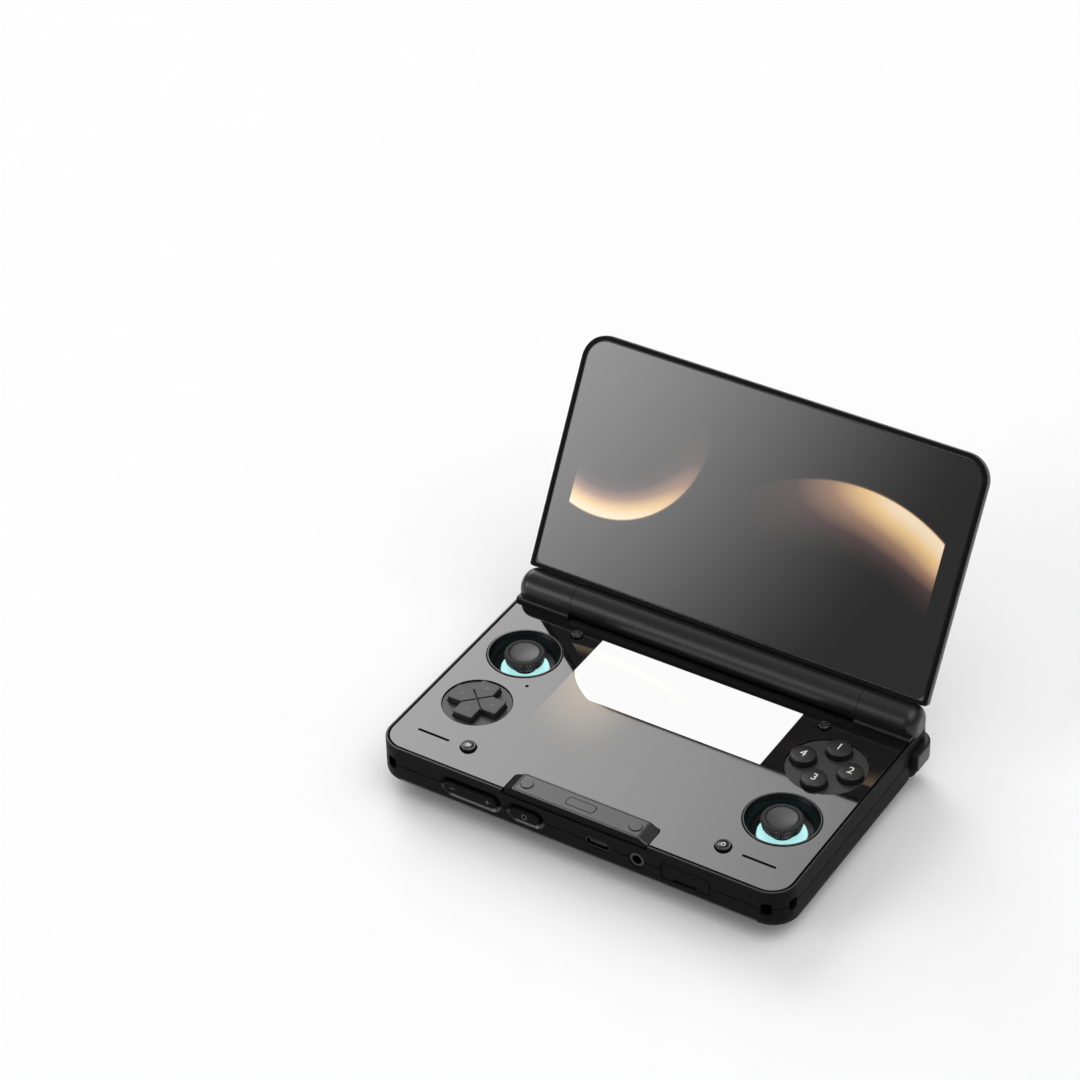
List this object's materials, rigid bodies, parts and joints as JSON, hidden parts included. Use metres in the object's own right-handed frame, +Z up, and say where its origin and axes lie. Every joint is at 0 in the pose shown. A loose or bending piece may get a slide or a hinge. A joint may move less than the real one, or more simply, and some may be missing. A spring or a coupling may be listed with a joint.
{
  "type": "clamshell handheld game console",
  "caption": "Folding handheld game console: a control deck with sticks, cross pad and buttons, and a wide-screen lid on a barrel hinge.",
  "frame": {"origin": "under the middle of the open console, on the plane of its rubber feet", "axes": "+X to the player's right along the hinge, +Y away from the player, +Z up"},
  "size_m": [0.1552, 0.1398, 0.102],
  "materials": {
    "black_plastic": "satin moulded",
    "black_glass": "polished",
    "screen": "polished",
    "light_ring": "translucent, lit",
    "lid_grey": "satin paint",
    "rubber": "matt",
    "silicone": "matt",
    "stick_rubber": "matt",
    "circuit_board": "satin",
    "steel": "satin",
    "aluminium": "satin",
    "battery": "film",
    "inner_plastic": "moulded"
  },
  "bodies": {
    "base": {"lower_case": "black_plastic", "upper_case": "black_plastic", "deck_glass": "black_glass", "lower_display": "screen", "front_ledge": "black_plastic", "left_stick_bowl": "black_plastic", "right_stick_bowl": "black_plastic", "left_light_ring": "light_ring", "right_light_ring": "light_ring", "left_stick_housing": "steel", "right_stick_housing": "steel", "dpad_plate": "black_plastic", "face_button_plate": "black_plastic", "dpad_mat": "silicone", "face_button_mat": "silicone", "main_board": "circuit_board", "front_board": "circuit_board", "battery": "battery", "fan_housing": "inner_plastic", "heat_sink": "aluminium", "left_speaker": "inner_plastic", "right_speaker": "inner_plastic", "usb_port": "steel", "headphone_jack": "inner_plastic", "card_reader": "steel", "left_hinge_pin": "steel", "right_hinge_pin": "steel", "left_front_foot": "rubber", "right_front_foot": "rubber", "left_rear_foot": "rubber", "right_rear_foot": "rubber"},
    "lid": {"lid_back_cover": "lid_grey", "lid_bezel": "black_plastic", "lid_glass": "black_glass", "upper_display": "screen"},
    "face_button_top": {"face_button_top": "black_plastic"},
    "face_button_right": {"face_button_right": "black_plastic"},
    "face_button_bottom": {"face_button_bottom": "black_plastic"},
    "face_button_left": {"face_button_left": "black_plastic"},
    "left_front_button": {"left_front_button": "black_plastic"},
    "right_front_button": {"right_front_button": "black_plastic"},
    "left_rear_button": {"left_rear_button": "black_plastic"},
    "right_rear_button": {"right_rear_button": "black_plastic"},
    "dpad_pivot": {"dpad_pivot": "inner_plastic"},
    "dpad": {"dpad": "black_plastic"},
    "left_stick_carrier": {"left_stick_carrier": "inner_plastic"},
    "left_stick_yoke": {"left_stick_yoke": "inner_plastic"},
    "left_stick": {"left_stick": "stick_rubber"},
    "right_stick_carrier": {"right_stick_carrier": "inner_plastic"},
    "right_stick_yoke": {"right_stick_yoke": "inner_plastic"},
    "right_stick": {"right_stick": "stick_rubber"},
    "left_shoulder_button": {"left_shoulder_button": "black_plastic"},
    "right_shoulder_button": {"right_shoulder_button": "black_plastic"},
    "left_trigger": {"left_trigger": "black_plastic"},
    "right_trigger": {"right_trigger": "black_plastic"},
    "volume_rocker": {"volume_rocker": "black_plastic"},
    "power_button": {"power_button": "black_plastic"},
    "card_cover": {"card_cover": "black_plastic"},
    "fan_rotor": {"fan_rotor": "inner_plastic"}
  },
  "joints": [
    {"name": "lid_hinge", "type": "hinge", "parent": "base", "child": "lid", "pos_m": [0, 0.02302, 0.0241], "axis": [1, 0, 0], "range_deg": [-24, 119]},
    {"name": "face_button_top_press", "type": "slide", "parent": "base", "child": "face_button_top", "axis": [0, 0, -1], "range_m": [0, 0.0008], "stiffness_N_per_m": 600},
    {"name": "face_button_right_press", "type": "slide", "parent": "base", "child": "face_button_right", "axis": [0, 0, -1], "range_m": [0, 0.0008], "stiffness_N_per_m": 600},
    {"name": "face_button_bottom_press", "type": "slide", "parent": "base", "child": "face_button_bottom", "axis": [0, 0, -1], "range_m": [0, 0.0008], "stiffness_N_per_m": 600},
    {"name": "face_button_left_press", "type": "slide", "parent": "base", "child": "face_button_left", "axis": [0, 0, -1], "range_m": [0, 0.0008], "stiffness_N_per_m": 600},
    {"name": "left_front_button_press", "type": "slide", "parent": "base", "child": "left_front_button", "axis": [0, 0, -1], "range_m": [0, 0.0005], "stiffness_N_per_m": 800},
    {"name": "right_front_button_press", "type": "slide", "parent": "base", "child": "right_front_button", "axis": [0, 0, -1], "range_m": [0, 0.0005], "stiffness_N_per_m": 800},
    {"name": "left_rear_button_press", "type": "slide", "parent": "base", "child": "left_rear_button", "axis": [0, 0, -1], "range_m": [0, 0.0005], "stiffness_N_per_m": 800},
    {"name": "right_rear_button_press", "type": "slide", "parent": "base", "child": "right_rear_button", "axis": [0, 0, -1], "range_m": [0, 0.0005], "stiffness_N_per_m": 800},
    {"name": "dpad_rock_front_back", "type": "hinge", "parent": "base", "child": "dpad_pivot", "pos_m": [-0.0567, -0.03648, 0.018], "axis": [1, 0, 0], "range_deg": [-4, 4], "stiffness_Nm_per_rad": 0.05},
    {"name": "dpad_rock_left_right", "type": "hinge", "parent": "dpad_pivot", "child": "dpad", "pos_m": [-0.0567, -0.03648, 0.018], "axis": [0, 1, 0], "range_deg": [-4, 4], "stiffness_Nm_per_rad": 0.05},
    {"name": "left_stick_click", "type": "slide", "parent": "base", "child": "left_stick_carrier", "axis": [0, 0, -1], "range_m": [0, 0.0004], "stiffness_N_per_m": 2500},
    {"name": "left_stick_front_back", "type": "hinge", "parent": "left_stick_carrier", "child": "left_stick_yoke", "pos_m": [-0.0567, -0.00708, 0.0105], "axis": [1, 0, 0], "range_deg": [-12, 12], "stiffness_Nm_per_rad": 0.03},
    {"name": "left_stick_left_right", "type": "hinge", "parent": "left_stick_yoke", "child": "left_stick", "pos_m": [-0.0567, -0.00708, 0.0105], "axis": [0, 1, 0], "range_deg": [-12, 12], "stiffness_Nm_per_rad": 0.03},
    {"name": "right_stick_click", "type": "slide", "parent": "base", "child": "right_stick_carrier", "axis": [0, 0, -1], "range_m": [0, 0.0004], "stiffness_N_per_m": 2500},
    {"name": "right_stick_front_back", "type": "hinge", "parent": "right_stick_carrier", "child": "right_stick_yoke", "pos_m": [0.0567, -0.03648, 0.0105], "axis": [1, 0, 0], "range_deg": [-12, 12], "stiffness_Nm_per_rad": 0.03},
    {"name": "right_stick_left_right", "type": "hinge", "parent": "right_stick_yoke", "child": "right_stick", "pos_m": [0.0567, -0.03648, 0.0105], "axis": [0, 1, 0], "range_deg": [-12, 12], "stiffness_Nm_per_rad": 0.03},
    {"name": "left_shoulder_press", "type": "hinge", "parent": "base", "child": "left_shoulder_button", "pos_m": [-0.0566, 0.02472, 0.01305], "axis": [0, 0, 1], "range_deg": [0, 2.5], "stiffness_Nm_per_rad": 0.4},
    {"name": "right_shoulder_press", "type": "hinge", "parent": "base", "child": "right_shoulder_button", "pos_m": [0.0566, 0.02472, 0.01305], "axis": [0, 0, -1], "range_deg": [0, 2.5], "stiffness_Nm_per_rad": 0.4},
    {"name": "left_trigger_pull", "type": "hinge", "parent": "base", "child": "left_trigger", "pos_m": [-0.0641, 0.02172, 0.0082], "axis": [-1, 0, 0], "range_deg": [0, 12], "stiffness_Nm_per_rad": 0.12},
    {"name": "right_trigger_pull", "type": "hinge", "parent": "base", "child": "right_trigger", "pos_m": [0.0641, 0.02172, 0.0082], "axis": [-1, 0, 0], "range_deg": [0, 12], "stiffness_Nm_per_rad": 0.12},
    {"name": "volume_rock", "type": "hinge", "parent": "base", "child": "volume_rocker", "pos_m": [-0.0385, -0.06928, 0.0139], "axis": [0, 0, 1], "range_deg": [-2, 2], "stiffness_Nm_per_rad": 0.1},
    {"name": "power_press", "type": "slide", "parent": "base", "child": "power_button", "axis": [0, 1, 0], "range_m": [0, 0.0005], "stiffness_N_per_m": 800},
    {"name": "card_cover_swing", "type": "hinge", "parent": "base", "child": "card_cover", "pos_m": [0.0405, -0.06848, 0.01595], "axis": [-1, 0, 0], "range_deg": [0, 75]},
    {"name": "fan_spin", "type": "hinge", "parent": "base", "child": "fan_rotor", "pos_m": [-0.0215, 0.00072, 0.0102], "axis": [0, 0, 1], "continuous": true}
  ]
}
